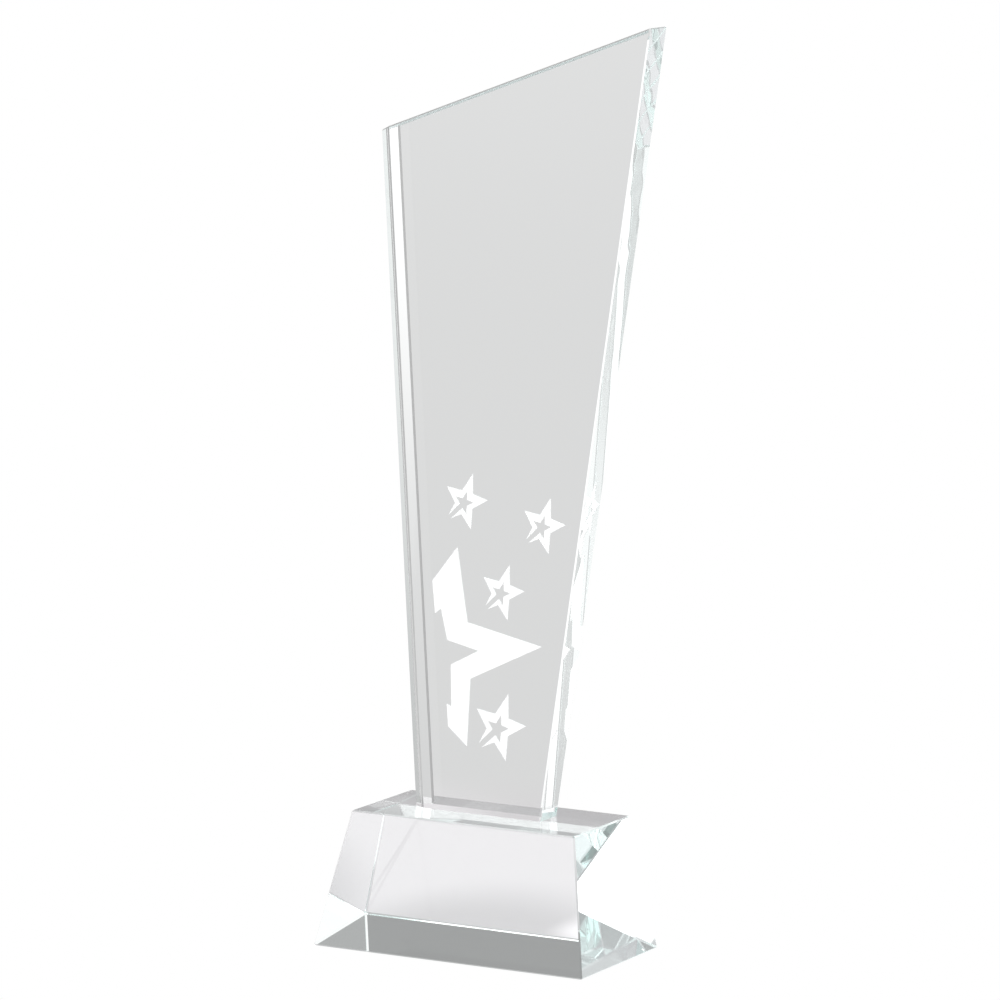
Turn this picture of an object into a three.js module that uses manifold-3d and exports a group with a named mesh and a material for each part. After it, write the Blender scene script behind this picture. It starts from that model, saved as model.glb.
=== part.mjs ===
// A tapered crystal plaque bonded to a clear crystal block. Stars are etched into the plaque's back,
// filled with white enamel and read through the crystal. Millimetres, +Z up. The origin is the centre
// of the block's underside, the front faces -Y, and the plaque's taller side is at +X.

import * as THREE from 'three';
import { mergeVertices } from 'three/addons/utils/BufferGeometryUtils.js';
import Module from 'manifold-3d';

// --- Driving dimensions --------------------------------------------------------------------------

// The base block: a rectangular frustum whose four sides lean in by the same amount.
const BASE_WIDTH = 85;
const BASE_DEPTH = 55;
const BASE_HEIGHT = 39.5;
const BASE_INSET = 7.3; // how far each side has leaned in at the top
const BASE_ARRIS = 0.4; // the small flat ground along every edge of the block

// The clear adhesive that joins the plaque's foot to the block.
const BOND_THICKNESS = 0.2;

// The plaque: a flat slab, narrow at the foot, with a slanting top. Heights are from its foot.
const PLAQUE_THICKNESS = 12;
const PLAQUE_CENTRE_Y = 1.5;
const PLAQUE_FOOT_LEFT = -23.6;
const PLAQUE_FOOT_RIGHT = 17.5;
const PLAQUE_TOP_LEFT = -42.4;
const PLAQUE_TOP_RIGHT = 41.8;
const PLAQUE_LEFT_HEIGHT = 195.5;
const PLAQUE_RIGHT_HEIGHT = 230.3;

// The two bevels down the plaque's left edge, one at the front and one at the back.
const BEVEL_ON_FACE = 3.6;
const BEVEL_ON_SIDE = 3.2;

// The etched pockets and the enamel in them.
const ETCH_DEPTH = 0.5;
const ETCH_CLEARANCE = 0.1; // the pocket's wall stands this far off the enamel

// The small stars. Radii below are shares of the half width and half height.
const STAR_TIPS = 5;
const STAR_HALF_WIDTH = 8.65; // from the centre to the tip that points right
const STAR_HALF_HEIGHT = 10.25;
const STAR_RISE = 1.35; // how much higher the right tip stands than the centre
const STAR_WAIST = 0.43; // the notches between the tips
const HOLLOW_TIP = 0.43; // the clear star inside each star
const HOLLOW_WAIST = 0.18;
const HOLLOW_SHIFT = [-0.045, -0.035];
const SLIT_REACH = 0.78; // where the hollow's lower left arm breaks out through the star's tip
const SLIT_HALF_WIDTH = 0.085;
const SLIT_TIP = 3; // the lower left tip, counted anticlockwise from the right tip
const STARS = {
	star_fill_upper_left: { x: -13.4, z: 129, scale: 0.825 },
	star_fill_upper_right: { x: 11.4, z: 124.1, scale: 0.825 },
	star_fill_middle: { x: -0.7, z: 103.6, scale: 0.825 },
	star_fill_lower: { x: 0, z: 64.1, scale: 1 },
};

// The large star: the right part of a star drawn as a broad band, stepped off on its left.
const LARGE_STAR_OUTLINE = [
	[12.6, 89.1], // the right tip
	[-11.1, 94],
	[-15.2, 115.6], // the end of the upper arm
	[-22.8, 105.1],
	[-21.5, 95.7],
	[-19.7, 97.2],
	[-17.3, 88.2],
	[-7.3, 86], // the inside corner of the band
	[-15.9, 81.1],
	[-15.2, 68.9],
	[-16.7, 69.4],
	[-16, 62.9],
	[-9.8, 57.7], // the end of the lower arm
	[-9.5, 77.6],
];

// --- Derived places ------------------------------------------------------------------------------

const PLAQUE_FOOT_Z = BASE_HEIGHT + BOND_THICKNESS;
const PLAQUE_FRONT_Y = PLAQUE_CENTRE_Y - PLAQUE_THICKNESS / 2;
const PLAQUE_BACK_Y = PLAQUE_CENTRE_Y + PLAQUE_THICKNESS / 2;
const ENAMEL_FLOOR_Y = PLAQUE_BACK_Y - ETCH_DEPTH; // the floor of the etched pockets
const PLAQUE_OUTLINE = [
	[PLAQUE_FOOT_LEFT, PLAQUE_FOOT_Z],
	[PLAQUE_FOOT_RIGHT, PLAQUE_FOOT_Z],
	[PLAQUE_TOP_RIGHT, PLAQUE_FOOT_Z + PLAQUE_RIGHT_HEIGHT],
	[PLAQUE_TOP_LEFT, PLAQUE_FOOT_Z + PLAQUE_LEFT_HEIGHT],
];
const LEFT_EDGE_LEAN = Math.atan2(PLAQUE_FOOT_LEFT - PLAQUE_TOP_LEFT, PLAQUE_LEFT_HEIGHT);
const CUTTER_REACH = 20; // how far a cutter runs past what it cuts
const MERGE_DISTANCE = 1e-5; // corners closer than this are one corner

// --- Materials -----------------------------------------------------------------------------------

const crystal = new THREE.MeshStandardMaterial({
	color: 0xe6f0ee,
	roughness: 0.02,
	metalness: 0,
	transparent: true,
	opacity: 0.35,
});
const adhesive = new THREE.MeshStandardMaterial({
	color: 0xeef4f2,
	roughness: 0.05,
	metalness: 0,
	transparent: true,
	opacity: 0.35,
});
const enamel = new THREE.MeshStandardMaterial({ color: 0xfafafa, roughness: 0.45, metalness: 0 });

// --- Solids and geometries -----------------------------------------------------------------------

const wasm = await Module();
wasm.setup();

function toSolid(geometry) {
	const bare = geometry.clone();
	bare.deleteAttribute('normal');
	bare.deleteAttribute('uv');
	const merged = mergeVertices(bare, MERGE_DISTANCE);
	return new wasm.Manifold(new wasm.Mesh({
		numProp: 3,
		vertProperties: new Float32Array(merged.attributes.position.array),
		triVerts: new Uint32Array(merged.index.array),
	}));
}

function toGeometry(solid) {
	const mesh = solid.getMesh();
	const geometry = new THREE.BufferGeometry();
	geometry.setAttribute('position', new THREE.BufferAttribute(mesh.vertProperties, 3));
	geometry.setIndex(new THREE.BufferAttribute(mesh.triVerts, 1));
	geometry.computeVertexNormals();
	return geometry;
}

// --- Outlines ------------------------------------------------------------------------------------

// An outline in the plaque's plane, as [x, z] points, extruded from frontY towards +Y.
function extrudeOutline(points, frontY, depth) {
	const shape = new THREE.Shape(points.map(([x, z]) => new THREE.Vector2(x, z)));
	const geometry = new THREE.ExtrudeGeometry(shape, { depth, bevelEnabled: false });
	geometry.rotateX(Math.PI / 2); // the shape's y becomes z, and the extrusion runs towards -Y
	geometry.translate(0, frontY + depth, 0);
	return geometry;
}

// The same outline with every side moved outwards by a distance, its corners mitred.
function growOutline(points, distance) {
	const area = THREE.ShapeUtils.area(points.map(([x, z]) => new THREE.Vector2(x, z)));
	const outward = Math.sign(area) * distance; // the area of an anticlockwise outline is positive
	return points.map(([x, z], i) => {
		const [beforeX, beforeZ] = points.at(i - 1);
		const [afterX, afterZ] = points[(i + 1) % points.length];
		const arriving = new THREE.Vector2(x - beforeX, z - beforeZ).normalize();
		const leaving = new THREE.Vector2(afterX - x, afterZ - z).normalize();
		const mitre = outward / (1 + arriving.dot(leaving));
		return [x + mitre * (arriving.y + leaving.y), z - mitre * (arriving.x + leaving.x)];
	});
}

// A point at a radius and a number of fifths of a turn from the right tip.
function starPoint(radius, fifths, [shiftX, shiftZ] = [0, 0]) {
	const angle = (2 * Math.PI / STAR_TIPS) * fifths;
	return [shiftX + radius * Math.cos(angle), shiftZ + radius * Math.sin(angle)];
}

// A five-pointed star with a smaller star cut out of it. The cut-out's lower left arm runs out
// through the tip, so the outline is one open band that starts and ends beside that tip.
function starOutline({ x, z, scale }) {
	const [tipX, tipZ] = starPoint(1, SLIT_TIP);
	const slitEnd = (side) => [
		SLIT_REACH * tipX - side * SLIT_HALF_WIDTH * tipZ,
		SLIT_REACH * tipZ + side * SLIT_HALF_WIDTH * tipX,
	];
	const band = [slitEnd(1)];
	for (let step = 1; step < 2 * STAR_TIPS; step++) {
		const radius = step % 2 === 0 ? 1 : STAR_WAIST;
		band.push(starPoint(radius, SLIT_TIP + step / 2));
	}
	band.push(slitEnd(-1));
	for (let step = 2 * STAR_TIPS - 1; step > 0; step--) {
		const radius = step % 2 === 0 ? HOLLOW_TIP : HOLLOW_WAIST;
		band.push(starPoint(radius, SLIT_TIP + step / 2, HOLLOW_SHIFT));
	}
	return band.map(([u, v]) => [
		x + scale * STAR_HALF_WIDTH * u,
		z + scale * (STAR_HALF_HEIGHT * v + STAR_RISE * u),
	]);
}

// Each enamel fill's outline, by the fill's name.
function enamelOutlines() {
	const outlines = new Map();
	for (const [name, star] of Object.entries(STARS)) {
		outlines.set(name, starOutline(star));
	}
	outlines.set('large_star_fill', LARGE_STAR_OUTLINE);
	return outlines;
}

// --- The block -----------------------------------------------------------------------------------

// A rectangle at height z, inset from the block's foot, its corners cut off by the arris.
function blockLevel(inset, z) {
	const halfWidth = BASE_WIDTH / 2 - inset;
	const halfDepth = BASE_DEPTH / 2 - inset;
	const corners = [];
	for (const [sideX, sideY] of [[1, -1], [1, 1], [-1, 1], [-1, -1]]) {
		const onFrontOrBack = [sideX * (halfWidth - BASE_ARRIS), sideY * halfDepth, z];
		const onSide = [sideX * halfWidth, sideY * (halfDepth - BASE_ARRIS), z];
		corners.push(...(sideX * sideY < 0 ? [onFrontOrBack, onSide] : [onSide, onFrontOrBack]));
	}
	return corners;
}

// Levels of equal point count, bottom to top, joined by side faces and closed by two caps.
function loftLevels(levels) {
	const count = levels[0].length;
	const index = [];
	for (let level = 0; level < levels.length - 1; level++) {
		for (let i = 0; i < count; i++) {
			const a = level * count + i;
			const b = level * count + (i + 1) % count;
			index.push(a, b, b + count, a, b + count, a + count);
		}
	}
	const top = (levels.length - 1) * count;
	for (let i = 1; i < count - 1; i++) {
		index.push(0, i + 1, i);
		index.push(top, top + i, top + i + 1);
	}
	const geometry = new THREE.BufferGeometry();
	geometry.setAttribute('position', new THREE.Float32BufferAttribute(levels.flat(2), 3));
	geometry.setIndex(index);
	geometry.computeVertexNormals();
	return geometry;
}

function makeBaseBlock() {
	const insetAt = (z) => BASE_INSET * z / BASE_HEIGHT;
	const shoulder = BASE_HEIGHT - BASE_ARRIS;
	return loftLevels([
		blockLevel(BASE_ARRIS, 0),
		blockLevel(insetAt(BASE_ARRIS), BASE_ARRIS),
		blockLevel(insetAt(shoulder), shoulder),
		blockLevel(BASE_INSET + BASE_ARRIS, BASE_HEIGHT),
	]);
}

// --- The adhesive --------------------------------------------------------------------------------

// The film has the outline of the plaque's foot, whose left corners are cut off by the bevels.
function makeAdhesiveBond() {
	const bevelEnd = PLAQUE_FOOT_LEFT + BEVEL_ON_FACE / Math.cos(LEFT_EDGE_LEAN);
	const foot = new THREE.Shape([
		new THREE.Vector2(bevelEnd, PLAQUE_FRONT_Y),
		new THREE.Vector2(PLAQUE_FOOT_RIGHT, PLAQUE_FRONT_Y),
		new THREE.Vector2(PLAQUE_FOOT_RIGHT, PLAQUE_BACK_Y),
		new THREE.Vector2(bevelEnd, PLAQUE_BACK_Y),
		new THREE.Vector2(PLAQUE_FOOT_LEFT, PLAQUE_BACK_Y - BEVEL_ON_SIDE),
		new THREE.Vector2(PLAQUE_FOOT_LEFT, PLAQUE_FRONT_Y + BEVEL_ON_SIDE),
	]);
	const film = new THREE.ExtrudeGeometry(foot, { depth: BOND_THICKNESS, bevelEnabled: false });
	film.translate(0, 0, BASE_HEIGHT);
	return film;
}

// --- The plaque ----------------------------------------------------------------------------------

// A long wedge that takes off one corner of the left edge; side is -1 at the front, 1 at the back.
function makeBevelCutter(side) {
	const faceY = side < 0 ? PLAQUE_FRONT_Y : PLAQUE_BACK_Y;
	const slope = BEVEL_ON_SIDE / BEVEL_ON_FACE;
	const outsideY = faceY + side * slope * CUTTER_REACH;
	const insideY = faceY - side * slope * (BEVEL_ON_FACE + CUTTER_REACH);
	const section = new THREE.Shape([
		new THREE.Vector2(BEVEL_ON_FACE + CUTTER_REACH, outsideY),
		new THREE.Vector2(-CUTTER_REACH, insideY),
		new THREE.Vector2(-CUTTER_REACH, outsideY),
	]);
	const length = PLAQUE_RIGHT_HEIGHT + 2 * CUTTER_REACH;
	const cutter = new THREE.ExtrudeGeometry(section, { depth: length, bevelEnabled: false });
	cutter.translate(0, 0, -CUTTER_REACH);
	cutter.rotateY(-LEFT_EDGE_LEAN);
	cutter.translate(PLAQUE_FOOT_LEFT, 0, PLAQUE_FOOT_Z);
	return toSolid(cutter);
}

function makePocketCutter(outline) {
	const pocket = growOutline(outline, ETCH_CLEARANCE);
	return toSolid(extrudeOutline(pocket, ENAMEL_FLOOR_Y, 2 * ETCH_DEPTH));
}

function makePlaque() {
	let plaque = toSolid(extrudeOutline(PLAQUE_OUTLINE, PLAQUE_FRONT_Y, PLAQUE_THICKNESS));
	plaque = plaque.subtract(makeBevelCutter(-1));
	plaque = plaque.subtract(makeBevelCutter(1));
	for (const outline of enamelOutlines().values()) {
		plaque = plaque.subtract(makePocketCutter(outline));
	}
	return toGeometry(plaque);
}

// --- Assembly ------------------------------------------------------------------------------------

const award = new THREE.Group();

function addPart(name, geometry, material) {
	const mesh = new THREE.Mesh(geometry, material);
	mesh.name = name;
	award.add(mesh);
}

addPart('base_block', makeBaseBlock(), crystal);
addPart('adhesive_bond', makeAdhesiveBond(), adhesive);
addPart('crystal_plaque', makePlaque(), crystal);
for (const [name, outline] of enamelOutlines()) {
	addPart(name, extrudeOutline(outline, ENAMEL_FLOOR_Y, ETCH_DEPTH), enamel);
}

export default award;
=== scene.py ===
# The crystal award's looks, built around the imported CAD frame. Metres, +Z up, the front faces -Y.

import math

import bmesh
import bpy
from mathutils import Matrix, Vector


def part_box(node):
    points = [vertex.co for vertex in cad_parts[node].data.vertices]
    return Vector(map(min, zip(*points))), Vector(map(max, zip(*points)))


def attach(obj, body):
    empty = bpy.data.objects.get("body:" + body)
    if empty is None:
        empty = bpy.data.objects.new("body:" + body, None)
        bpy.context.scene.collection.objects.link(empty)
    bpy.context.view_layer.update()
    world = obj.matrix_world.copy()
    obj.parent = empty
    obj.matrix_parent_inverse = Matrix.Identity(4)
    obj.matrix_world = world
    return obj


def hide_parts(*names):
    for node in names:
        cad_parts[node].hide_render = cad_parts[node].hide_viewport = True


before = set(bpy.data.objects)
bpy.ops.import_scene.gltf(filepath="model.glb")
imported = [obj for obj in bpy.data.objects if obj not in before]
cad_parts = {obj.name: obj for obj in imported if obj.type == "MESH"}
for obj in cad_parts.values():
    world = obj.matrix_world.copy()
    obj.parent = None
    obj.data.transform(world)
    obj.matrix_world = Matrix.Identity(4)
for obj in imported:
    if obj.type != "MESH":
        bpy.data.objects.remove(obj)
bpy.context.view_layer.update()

MM = 0.001

# --- Sizes the frame doesn't give ----------------------------------------------------------------

PLAQUE_ARRIS = 0.4 * MM  # the ground edge that keeps a polished corner from chipping
CONTACT_GAP = 0.02 * MM  # between surfaces that the adhesive or the enamel wets
ENAMEL_RECESS = 0.03 * MM  # how far the enamel's face lies below the plaque's
ENAMEL_RIM = 0.06 * MM  # the rounded rim of the enamel
ENAMEL_RIM_STEPS = 3
FLOOR_GAP = 0.05 * MM  # keeps the floor's surface from coinciding with the block's underside
CUTTER_OVERRUN = 1 * MM  # how far a cutter reaches out of the body that it cuts
LARGEST_ARRIS = 60 * MM * MM  # every ground face of the block has less area than this

# How shapes are told apart.
MERGE_DISTANCE = 0.001 * MM  # corners nearer than this are one corner
SAME_HEIGHT = 0.0001 * MM
FOOT_HEIGHT = 1 * MM  # edges that stay lower than this belong to the plaque's foot
FLAT_ANGLE = math.radians(0.2)  # faces that meet at less than this are one flat face
FACING = 0.999  # a face's normal along an axis: it looks straight that way
MOSTLY_FACING = 0.9  # it looks more or less that way
SLANTING = 0.3  # it slants that way at least

# --- Optics --------------------------------------------------------------------------------------

CRYSTAL_IOR = 1.517
ADHESIVE_IOR = 1.50
# The crystal absorbs (1 - tint) * absorption of each colour per metre.
CRYSTAL_BODY_TINT = (0.60, 0.88, 0.84, 1)
CRYSTAL_ABSORPTION = 1.8
WAVY_FROM_TO = (150 * MM, 200 * MM)  # the heights between which the polish grows uneven
EVEN_SHARE = 0.03  # how much of that unevenness is left below them
WAVE_SIZE = 9 * MM
WAVE_HEIGHT = 0.16 * MM
GROUND_GRAIN = 0.25 * MM
ETCHED_ROUGHNESS = (0.02, 0.08)
ETCHED_GRAIN = 0.15 * MM
GRAIN_DETAIL = 3
# How much light each body's ground faces keep, through a grey that is painted shade on the arrises, and
# how rough they are.
PLAQUE_GROUND = {"ground_painted_grey": 0.35, "ground_roughness": (0.25, 0.33)}
BASE_GROUND = {"ground_painted_grey": 0.85, "ground_roughness": (0.08, 0.16)}

ENAMEL_DARKEST = (0.93, 0.93, 0.925, 1)
ENAMEL_LIGHTEST = (0.99, 0.99, 0.99, 1)
ENAMEL_COLOUR_PATCH = 2.5 * MM
ENAMEL_SHEEN_PATCH = 0.8 * MM
ENAMEL_ROUGHNESS = (0.35, 0.55)
ENAMEL_PEEL_SIZE = 0.35 * MM
ENAMEL_PEEL_HEIGHT = 0.01 * MM

# What each of a piece's faces is like: a hand-polished edge, a ground arris, an etched pocket, or a
# contact that adhesive wets, where light crosses without bending. A face of no kind is polished.
MASKS = ("wavy", "ground", "etched", "wetted")

# --- Camera --------------------------------------------------------------------------------------

CAMERA_AZIMUTH = 24.1  # degrees round from the front, towards +X
CAMERA_ELEVATION = 7.83
CAMERA_ROLL = 2.21
CAMERA_DISTANCE = 1.979
CAMERA_LENS = 247.3  # millimetres, on a sensor of the width below
CAMERA_SENSOR_WIDTH = 36
CAMERA_CLIP_END = 100
CAMERA_TARGET_HEIGHT = 0.13107
CAMERA_TARGET_SIDEWAYS = -0.00098

# --- Studio --------------------------------------------------------------------------------------

# How bright the room is at each elevation, in degrees, in front of the object and behind it.
FRONT_BRIGHTNESS = [
    (-90, 0.72),
    (-60, 0.78),
    (-40, 0.85),
    (-20, 0.92),
    (0, 0.98),
    (15, 1.00),
    (40, 1.20),
    (75, 1.60),
    (90, 1.60),
]
BACK_BRIGHTNESS = [
    (-90, 0.72),
    (-28, 0.72),
    (-20, 0.80),
    (-14, 0.68),
    (-6, 0.72),
    (-3, 0.78),
    (1, 0.92),
    (3.5, 0.68),
    (7, 0.64),
    (10, 0.31),
    (14, 0.33),
    (22, 0.65),
    (35, 0.85),
    (75, 1.60),
    (90, 1.60),
]
FRONT_TO_BACK = (80, 115)  # the azimuths between which one becomes the other
BRIGHTEST = 2.0  # the top of the ramp that holds them

# Soft panels round the object: the ranges of azimuth and elevation, the brightness, and the softness
# of the edges. Azimuth is in degrees round from the front, towards +X, as for the camera.
PANELS = [
    (((-70, 62), (20, 78)), 2.4, (6, 6)),  # the key light, high in front
    (((-46, -14), (-16, 9)), 0.60, (6, 6)),  # the gap between the front lights
    (((-46, -14), (-46, -26)), 0.38, (5, 5)),  # the table's dark front edge
    (((76, 104), (-6, 9)), 0.50, (6, 6)),  # a dark band at the horizon on the right
    (((-150, -112), (-10, 6)), 1.12, (4, 3)),  # behind on the left, a low light
    (((160, 195), (-13, -6.5)), 0.64, (4, 2.5)),  # straight behind, the table's dark far edge
    (((-195, -166), (-13, -6.5)), 0.64, (4, 2.5)),
    (((166, 195), (-7, 40)), 1.15, (4, 5)),  # with a bright strip above it
    (((-195, -166), (-7, 40)), 1.15, (4, 5)),
    (((136, 166), (-19, -4)), 1.25, (3, 3)),  # behind on the right, a light low down
    (((136, 166), (-3, 6)), 0.40, (3, 3)),  # with a dark band at the horizon
    (((136, 172), (9, 34)), 1.05, (3, 3)),  # and a light above it
]

# The table top as the crystal sees it, with a painted shadow round the block and painted patches of
# light and shade. Its panels are ranges of azimuth and distance.
FLOOR_RADIUS = 0.6
FLOOR_SIDES = 128
FLOOR_FADE = (0.16, 0.30)  # the distances between which it fades into the room
FLOOR_BRIGHTNESS = 0.81
FLOOR_TINT = (1.02, 0.98, 1.005)
# Painted shadow: the floor's glow is darker under and round the block, where the block would shade it.
PAINTED_SHADOW_UNDER_BLOCK = 0.62
CONTACT_SHADOW_FADE = (0.035, 0.062)  # the distances between which the block's shadow fades
FLOOR_PAINTED_LIGHT_AND_SHADE = [
    (((-120, -12), (0.03, 0.12)), 0.52, (20, 0.01)),
    (((-15, 160), (0.03, 0.50)), 0.98, (15, 0.01)),
    (((150, 195), (0.11, 0.50)), 0.66, (15, 0.02)),
    (((-195, -150), (0.11, 0.50)), 0.66, (10, 0.02)),
]


WHITE = (1, 1, 1, 1)
BOUNCES = 32
TRANSPARENT_BOUNCES = 64

# --- Node helpers --------------------------------------------------------------------------------


def add_node(tree, kind, **settings):
    made = tree.nodes.new(kind)
    for name, value in settings.items():
        setattr(made, name, value)
    return made


def put(tree, value, socket):
    """Links an output to a socket, or sets the socket's own value."""
    if isinstance(value, bpy.types.NodeSocket):
        tree.links.new(value, socket)
    else:
        socket.default_value = value


def math_node(tree, operation, *values):
    made = add_node(tree, "ShaderNodeMath", operation=operation)
    for socket, value in zip(made.inputs, values):
        put(tree, value, socket)
    return made.outputs[0]


def smooth_step(tree, value, start, end):
    made = add_node(tree, "ShaderNodeMapRange", interpolation_type="SMOOTHSTEP")
    put(tree, value, made.inputs["Value"])
    made.inputs["From Min"].default_value = start
    made.inputs["From Max"].default_value = end
    return made.outputs["Result"]


def mix_values(tree, factor, a, b):
    made = add_node(tree, "ShaderNodeMix", data_type="FLOAT")
    put(tree, factor, made.inputs[0])
    put(tree, a, made.inputs[2])
    put(tree, b, made.inputs[3])
    return made.outputs[0]


def noise(tree, size, detail):
    """Noise whose cells are about size metres across, fixed to the piece."""
    place = add_node(tree, "ShaderNodeTexCoord")
    made = add_node(tree, "ShaderNodeTexNoise")
    tree.links.new(place.outputs["Object"], made.inputs["Vector"])
    made.inputs["Scale"].default_value = 1 / size
    made.inputs["Detail"].default_value = detail
    return made.outputs["Fac"]


def bump(tree, height, distance):
    made = add_node(tree, "ShaderNodeBump")
    tree.links.new(height, made.inputs["Height"])
    made.inputs["Distance"].default_value = distance
    return made.outputs["Normal"]


def new_material(name):
    material = bpy.data.materials.new(name)
    material.use_nodes = True
    tree = material.node_tree
    return material, tree, tree.nodes["Principled BSDF"], tree.nodes["Material Output"]


# --- Materials -----------------------------------------------------------------------------------


def crystal(name, ior=CRYSTAL_IOR, ground_painted_grey=1.0, ground_roughness=(0.0, 0.0)):
    """Clear crystal, one material for a whole closed piece, so that light leaves the absorbing body
    by the shader it came in by. Each face's finish comes from the piece's mask attributes. Enamel
    touches the grit of an etched face, so the light that such a face would reflect passes through."""
    material, tree, shader, output = new_material(name)
    wavy, ground, etched, wetted = [
        add_node(tree, "ShaderNodeAttribute", attribute_name=mask).outputs["Fac"] for mask in MASKS
    ]
    shader.inputs["Transmission Weight"].default_value = 1
    shader.inputs["IOR"].default_value = ior
    # Ground faces pass light on through a grey base colour: painted shade that darkens the arrises.
    painted_arris_grey = mix_values(tree, ground, 1.0, ground_painted_grey)
    grey = add_node(tree, "ShaderNodeCombineColor")
    for socket in grey.inputs:
        tree.links.new(painted_arris_grey, socket)
    tree.links.new(grey.outputs[0], shader.inputs["Base Color"])

    grain = mix_values(tree, noise(tree, GROUND_GRAIN, GRAIN_DETAIL), *ground_roughness)
    grit = mix_values(tree, noise(tree, ETCHED_GRAIN, GRAIN_DETAIL), *ETCHED_ROUGHNESS)
    roughness = math_node(tree, "MULTIPLY", grain, ground)
    tree.links.new(mix_values(tree, etched, roughness, grit), shader.inputs["Roughness"])

    place = add_node(tree, "ShaderNodeTexCoord")
    axes = add_node(tree, "ShaderNodeSeparateXYZ")
    tree.links.new(place.outputs["Object"], axes.inputs[0])
    height = smooth_step(tree, axes.outputs["Z"], *WAVY_FROM_TO)
    share = math_node(tree, "MULTIPLY", mix_values(tree, height, EVEN_SHARE, 1.0), wavy)
    ripple = math_node(tree, "MULTIPLY", noise(tree, WAVE_SIZE, detail=1), share)
    tree.links.new(bump(tree, ripple, WAVE_HEIGHT), shader.inputs["Normal"])

    fresnel = add_node(tree, "ShaderNodeFresnel")
    fresnel.inputs["IOR"].default_value = ior
    caught = math_node(tree, "MULTIPLY", fresnel.outputs[0], etched)
    clear = add_node(tree, "ShaderNodeBsdfTransparent")
    surface = add_node(tree, "ShaderNodeMixShader")
    tree.links.new(math_node(tree, "MAXIMUM", wetted, caught), surface.inputs[0])
    tree.links.new(shader.outputs[0], surface.inputs[1])
    tree.links.new(clear.outputs[0], surface.inputs[2])
    tree.links.new(surface.outputs[0], output.inputs["Surface"])
    body = add_node(tree, "ShaderNodeVolumeAbsorption")
    body.inputs["Color"].default_value = CRYSTAL_BODY_TINT
    body.inputs["Density"].default_value = CRYSTAL_ABSORPTION
    tree.links.new(body.outputs[0], output.inputs["Volume"])
    return material


def white_enamel():
    """Brushed-in white paint: even, with a faint mottle and a fine orange peel."""
    material, tree, shader, _ = new_material("white_enamel")
    ramp = add_node(tree, "ShaderNodeValToRGB")
    ramp.color_ramp.elements[0].color = ENAMEL_DARKEST
    ramp.color_ramp.elements[1].color = ENAMEL_LIGHTEST
    tree.links.new(noise(tree, ENAMEL_COLOUR_PATCH, detail=4), ramp.inputs["Fac"])
    tree.links.new(ramp.outputs["Color"], shader.inputs["Base Color"])
    mottle = noise(tree, ENAMEL_SHEEN_PATCH, detail=3)
    tree.links.new(mix_values(tree, mottle, *ENAMEL_ROUGHNESS), shader.inputs["Roughness"])
    peel = noise(tree, ENAMEL_PEEL_SIZE, detail=2)
    tree.links.new(bump(tree, peel, ENAMEL_PEEL_HEIGHT), shader.inputs["Normal"])
    return material


# --- Meshes --------------------------------------------------------------------------------------


def merged_mesh(node):
    """The CAD node's mesh, its split corners joined."""
    bm = bmesh.new()
    bm.from_mesh(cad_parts[node].data)
    bmesh.ops.remove_doubles(bm, verts=bm.verts, dist=MERGE_DISTANCE)
    return bm


def hull_of(node):
    """The node's convex hull with its flat faces whole. It has no pockets."""
    source = merged_mesh(node)
    bm = bmesh.new()
    for vert in source.verts:
        bm.verts.new(vert.co)
    source.free()
    made = bmesh.ops.convex_hull(bm, input=bm.verts)
    spare = set(made["geom_interior"]) | set(made["geom_unused"])
    spare_verts = [g for g in spare if isinstance(g, bmesh.types.BMVert)]
    bmesh.ops.delete(bm, geom=spare_verts, context="VERTS")
    bmesh.ops.dissolve_limit(bm, angle_limit=FLAT_ANGLE, verts=bm.verts, edges=bm.edges)
    bmesh.ops.recalc_face_normals(bm, faces=bm.faces)
    return bm


def flat_face_outline(node, direction):
    """The outline, in order, of the node's flat face that looks in a direction."""
    bm = merged_mesh(node)
    direction = Vector(direction)
    cap = [f for f in bm.faces if f.normal.dot(direction) > FACING]
    rim = [e for e in bm.edges if sum(f in cap for f in e.link_faces) == 1]
    neighbours = {}
    for edge in rim:
        a, b = edge.verts
        neighbours.setdefault(a, []).append(b)
        neighbours.setdefault(b, []).append(a)
    start = rim[0].verts[0]
    path = [start, neighbours[start][0]]
    while path[-1] is not start:
        ahead = [v for v in neighbours[path[-1]] if v is not path[-2]]
        path.append(ahead[0])
    points = [v.co.copy() for v in path[:-1]]
    bm.free()
    return points


def grown(points, normal, distance):
    """The outline with every side moved outwards in its plane, its corners mitred."""
    normal = Vector(normal)
    area = sum((a.cross(b)).dot(normal) for a, b in zip(points, points[1:] + points[:1]))
    outward = math.copysign(distance, area)
    moved = []
    for i, point in enumerate(points):
        arriving = (point - points[i - 1]).normalized()
        leaving = (points[(i + 1) % len(points)] - point).normalized()
        sideways = arriving.cross(normal) + leaving.cross(normal)
        moved.append(point + sideways * outward / (1 + arriving.dot(leaving)))
    return moved


def prism(points, offset_a, offset_b):
    """A closed solid between two copies of an outline."""
    bm = bmesh.new()
    ring_a = [bm.verts.new(p + offset_a) for p in points]
    ring_b = [bm.verts.new(p + offset_b) for p in points]
    bm.faces.new(ring_a)
    bm.faces.new(list(reversed(ring_b)))
    count = len(points)
    for i in range(count):
        j = (i + 1) % count
        bm.faces.new((ring_a[j], ring_a[i], ring_b[i], ring_b[j]))
    bmesh.ops.recalc_face_normals(bm, faces=bm.faces)
    return bm


def new_object(name, bm, *materials):
    mesh = bpy.data.meshes.new(name)
    bm.to_mesh(mesh)
    bm.free()
    piece = bpy.data.objects.new(name, mesh)
    bpy.context.scene.collection.objects.link(piece)
    for material in materials:
        mesh.materials.append(material)
    return piece


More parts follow.
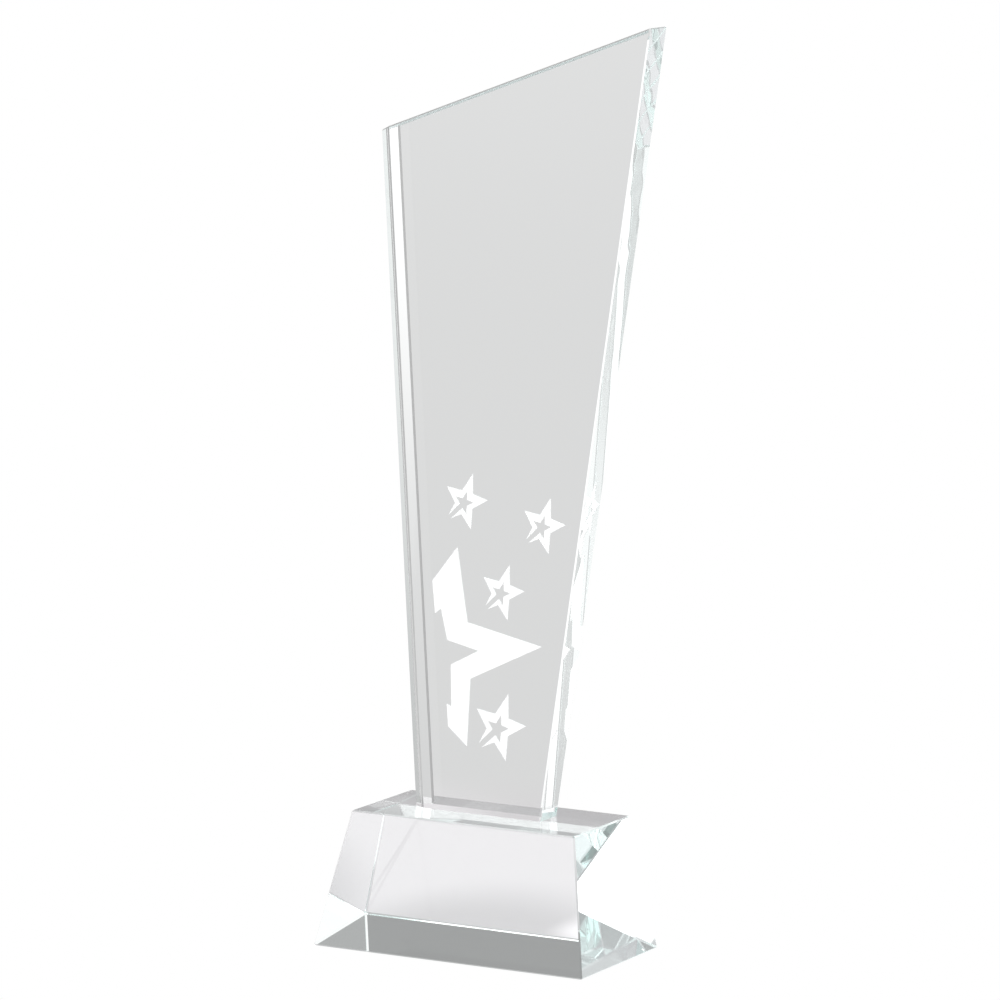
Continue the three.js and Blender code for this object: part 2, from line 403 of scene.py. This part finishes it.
def cut(piece, cutters):
    """Cuts the cutters out of the piece. A cut face keeps its cutter's material."""
    for cutter in cutters:
        modifier = piece.modifiers.new("cut", "BOOLEAN")
        modifier.operation = "DIFFERENCE"
        modifier.solver = "EXACT"
        modifier.material_mode = "TRANSFER"
        modifier.object = cutter
    graph = bpy.context.evaluated_depsgraph_get()
    result = bpy.data.meshes.new_from_object(piece.evaluated_get(graph))
    piece.modifiers.clear()
    piece.data = result
    for cutter in cutters:
        bpy.data.objects.remove(cutter)


def mark_faces(piece, kind, chosen):
    """Makes the faces for which chosen(face) is true of one kind, by their material slot."""
    for face in piece.data.polygons:
        if chosen(face):
            face.material_index = KINDS.index(kind)


def slots_to_masks(piece, material):
    """Writes each face's kind to the mask attributes and leaves the piece a single material."""
    mesh = piece.data
    for mask in MASKS:
        values = [float(KINDS[face.material_index] == mask) for face in mesh.polygons]
        mesh.attributes.new(mask, "FLOAT", "FACE").data.foreach_set("value", values)
    mesh.polygons.foreach_set("material_index", [0] * len(mesh.polygons))
    mesh.materials.clear()
    mesh.materials.append(material)


def finish_piece(piece, node):
    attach(piece, "root")
    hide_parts(node)


# --- The pieces ----------------------------------------------------------------------------------

ENAMEL_NODES = [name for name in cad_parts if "star" in name]
KINDS = ("polished", *MASKS)
KIND_SLOTS = [bpy.data.materials.new(kind) for kind in KINDS]  # stand-ins while the pieces are cut
BACK = Vector((0, 1, 0))
UP = Vector((0, 0, 1))


def is_right_arris(face):
    """True of the arrises down the plaque's right side, which are polished."""
    return face.normal.x > SLANTING and SLANTING < abs(face.normal.y) < MOSTLY_FACING


def make_plaque(material):
    low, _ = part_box("crystal_plaque")
    bm = hull_of("crystal_plaque")
    above_foot = [e for e in bm.edges if max(v.co.z for v in e.verts) > low.z + FOOT_HEIGHT]
    bmesh.ops.bevel(
        bm,
        geom=above_foot,
        offset=PLAQUE_ARRIS,
        offset_type="OFFSET",
        segments=1,
        affect="EDGES",
        clamp_overlap=True,
        material=KINDS.index("ground"),
    )
    plaque = new_object("crystal_plaque_cut", bm, *KIND_SLOTS)
    cutters = []
    for node in ENAMEL_NODES:
        outline = grown(flat_face_outline(node, BACK), BACK, CONTACT_GAP)
        front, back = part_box(node)
        depth = back.y - front.y
        pocket = prism(outline, BACK * CUTTER_OVERRUN, -BACK * (depth + CONTACT_GAP))
        cutters.append(new_object(f"pocket_{node}", pocket, KIND_SLOTS[KINDS.index("etched")]))
    cut(plaque, cutters)
    mark_faces(plaque, "wetted", lambda f: f.normal.z < -FACING)
    plain = KINDS.index("polished")
    mark_faces(plaque, "wavy", lambda f: f.material_index == plain and f.normal.x > MOSTLY_FACING)
    mark_faces(plaque, "polished", is_right_arris)
    slots_to_masks(plaque, material)
    finish_piece(plaque, "crystal_plaque")


def make_base(material):
    base = new_object("base_block_cut", hull_of("base_block"), *KIND_SLOTS)
    mark_faces(base, "ground", lambda f: f.area < LARGEST_ARRIS)
    outline = flat_face_outline("adhesive_bond", -UP)
    patch = prism(outline, -UP * CONTACT_GAP, UP * CUTTER_OVERRUN)
    cut(base, [new_object("contact_patch", patch, KIND_SLOTS[KINDS.index("wetted")])])
    slots_to_masks(base, material)
    finish_piece(base, "base_block")


def make_bond(material):
    low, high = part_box("adhesive_bond")
    outline = flat_face_outline("adhesive_bond", -UP)
    bm = prism(outline, Vector(), UP * (high.z - low.z - CONTACT_GAP))
    bond = new_object("adhesive_film", bm, *KIND_SLOTS)
    mark_faces(bond, "wetted", lambda f: abs(f.normal.z) > FACING)
    slots_to_masks(bond, material)
    finish_piece(bond, "adhesive_bond")


def make_enamel(node, enamel):
    low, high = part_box(node)
    outline = flat_face_outline(node, BACK)
    depth = high.y - low.y
    bm = prism(outline, -BACK * ENAMEL_RECESS, -BACK * depth)
    face_height = high.y - ENAMEL_RECESS - SAME_HEIGHT
    rim = [e for e in bm.edges if min(v.co.y for v in e.verts) > face_height]
    bmesh.ops.bevel(
        bm,
        geom=rim,
        offset=ENAMEL_RIM,
        offset_type="OFFSET",
        segments=ENAMEL_RIM_STEPS,
        affect="EDGES",
        clamp_overlap=True,
    )
    piece = new_object(f"{node}_enamel", bm, enamel)
    finish_piece(piece, node)


# --- Camera, floor and light ---------------------------------------------------------------------


def add_camera():
    azimuth = math.radians(CAMERA_AZIMUTH)
    elevation = math.radians(CAMERA_ELEVATION)
    roll = math.radians(CAMERA_ROLL)
    back = Vector((
        math.sin(azimuth) * math.cos(elevation),
        -math.cos(azimuth) * math.cos(elevation),
        math.sin(elevation),
    ))
    right = Vector((math.cos(azimuth), math.sin(azimuth), 0))
    up = back.cross(right)
    target = UP * CAMERA_TARGET_HEIGHT + right * CAMERA_TARGET_SIDEWAYS
    rolled_right = right * math.cos(roll) + up * math.sin(roll)
    rolled_up = up * math.cos(roll) - right * math.sin(roll)
    placement = Matrix((rolled_right, rolled_up, back)).transposed().to_4x4()
    placement.translation = target + back * CAMERA_DISTANCE
    camera = bpy.data.objects.new("camera", bpy.data.cameras.new("camera"))
    bpy.context.scene.collection.objects.link(camera)
    camera.data.sensor_width = CAMERA_SENSOR_WIDTH
    camera.data.lens = CAMERA_LENS
    camera.data.clip_end = CAMERA_CLIP_END
    camera.matrix_world = placement
    bpy.context.scene.camera = camera


def lay_panels(tree, light, first, second, panels):
    """Lays soft-edged panels over a light. Each covers a range of two quantities, in its first two
    places; then come its brightness and the softness of its edges in each quantity."""
    for ranges, brightness, softness in panels:
        inside = 1.0
        for quantity, (low, high), soft in zip((first, second), ranges, softness):
            inside = math_node(tree, "MULTIPLY", inside, smooth_step(tree, quantity, low, low + soft))
            inside = math_node(tree, "MULTIPLY", inside, smooth_step(tree, quantity, high, high - soft))
        light = mix_values(tree, inside, light, brightness)
    return light


def azimuth_of(tree, x, y):
    """Degrees round from the front, towards +X, of a direction or a place."""
    front = math_node(tree, "MULTIPLY", y, -1.0)
    return math_node(tree, "DEGREES", math_node(tree, "ARCTAN2", x, front))


def add_floor():
    """A round table top that gives its own light. The camera sees it white. Every other ray sees a
    contact shadow and the lights' uneven fall on it, and it fades into the room at its edge."""
    bm = bmesh.new()
    bmesh.ops.create_circle(bm, cap_ends=True, segments=FLOOR_SIDES, radius=FLOOR_RADIUS)
    bmesh.ops.translate(bm, verts=bm.verts, vec=-UP * FLOOR_GAP)
    material, tree, shader, output = new_material("pale_floor")
    tree.nodes.remove(shader)
    place = add_node(tree, "ShaderNodeTexCoord")
    axes = add_node(tree, "ShaderNodeSeparateXYZ")
    tree.links.new(place.outputs["Object"], axes.inputs[0])
    length = add_node(tree, "ShaderNodeVectorMath", operation="LENGTH")
    tree.links.new(place.outputs["Object"], length.inputs[0])
    distance = length.outputs["Value"]
    azimuth = azimuth_of(tree, axes.outputs["X"], axes.outputs["Y"])
    # A painted contact shadow round the block, then painted patches of light and shade from the floor's
    # panels.
    outside_painted_shadow = smooth_step(tree, distance, *CONTACT_SHADOW_FADE)
    brightness = mix_values(tree, outside_painted_shadow, PAINTED_SHADOW_UNDER_BLOCK, FLOOR_BRIGHTNESS)
    brightness = lay_panels(tree, brightness, azimuth, distance, FLOOR_PAINTED_LIGHT_AND_SHADE)
    seen = add_node(tree, "ShaderNodeLightPath").outputs["Is Camera Ray"]
    tint = add_node(tree, "ShaderNodeMix", data_type="RGBA")
    tree.links.new(seen, tint.inputs[0])
    tint.inputs[6].default_value = (*FLOOR_TINT, 1)
    tint.inputs[7].default_value = WHITE
    glow = add_node(tree, "ShaderNodeEmission")
    tree.links.new(tint.outputs[2], glow.inputs["Color"])
    tree.links.new(mix_values(tree, seen, brightness, 1.0), glow.inputs["Strength"])
    clear = add_node(tree, "ShaderNodeBsdfTransparent")
    edge = add_node(tree, "ShaderNodeMixShader")
    fade = smooth_step(tree, distance, *FLOOR_FADE)
    unseen = math_node(tree, "SUBTRACT", 1.0, seen)
    tree.links.new(math_node(tree, "MULTIPLY", fade, unseen), edge.inputs[0])
    tree.links.new(glow.outputs[0], edge.inputs[1])
    tree.links.new(clear.outputs[0], edge.inputs[2])
    tree.links.new(edge.outputs[0], output.inputs["Surface"])
    floor = new_object("floor", bm, material)


def brightness_by_elevation(tree, elevation, stops):
    """A ramp over the elevations from -90 to 90 degrees."""
    ramp = add_node(tree, "ShaderNodeValToRGB")
    elements = ramp.color_ramp.elements
    elements.remove(elements[1])
    for i, (angle, brightness) in enumerate(stops):
        position = (angle + 90) / 180
        element = elements[0] if i == 0 else elements.new(position)
        element.position = position
        element.color = (*[brightness / BRIGHTEST] * 3, 1)
    tree.links.new(math_node(tree, "MULTIPLY_ADD", elevation, 1 / 180, 0.5), ramp.inputs["Fac"])
    return math_node(tree, "MULTIPLY", ramp.outputs["Color"], BRIGHTEST)


def add_room():
    """The room as light: a gradient by elevation with soft panels in it. The camera sees white."""
    world = bpy.data.worlds.new("studio")
    bpy.context.scene.world = world
    world.use_nodes = True
    tree = world.node_tree
    background = tree.nodes["Background"]
    place = add_node(tree, "ShaderNodeTexCoord")
    axes = add_node(tree, "ShaderNodeSeparateXYZ")
    tree.links.new(place.outputs["Generated"], axes.inputs[0])
    x, y, z = axes.outputs
    azimuth = azimuth_of(tree, x, y)
    elevation = math_node(tree, "DEGREES", math_node(tree, "ARCSINE", z))
    before = brightness_by_elevation(tree, elevation, FRONT_BRIGHTNESS)
    behind = brightness_by_elevation(tree, elevation, BACK_BRIGHTNESS)
    sideways = smooth_step(tree, math_node(tree, "ABSOLUTE", azimuth), *FRONT_TO_BACK)
    light = mix_values(tree, sideways, before, behind)
    light = lay_panels(tree, light, azimuth, elevation, PANELS)
    seen = add_node(tree, "ShaderNodeLightPath").outputs["Is Camera Ray"]
    tree.links.new(mix_values(tree, seen, light, 1.0), background.inputs["Strength"])
    background.inputs["Color"].default_value = WHITE


def set_light_paths():
    """Light turns many times inside the crystal before it leaves, and the enamel is lit through the
    crystal's sharp refractions, which blurring would dim."""
    cycles = bpy.context.scene.cycles
    cycles.max_bounces = BOUNCES
    cycles.transmission_bounces = BOUNCES
    cycles.glossy_bounces = BOUNCES
    cycles.transparent_max_bounces = TRANSPARENT_BOUNCES
    cycles.blur_glossy = 0
    bpy.context.scene.view_settings.view_transform = "Standard"


# --- Assembly ------------------------------------------------------------------------------------

add_camera()
add_floor()
add_room()
set_light_paths()

make_plaque(crystal("plaque_crystal", **PLAQUE_GROUND))
make_base(crystal("base_crystal", **BASE_GROUND))
make_bond(crystal("clear_adhesive", ior=ADHESIVE_IOR))
enamel = white_enamel()
for node in ENAMEL_NODES:
    make_enamel(node, enamel)

for stand_in in KIND_SLOTS:
    bpy.data.materials.remove(stand_in)
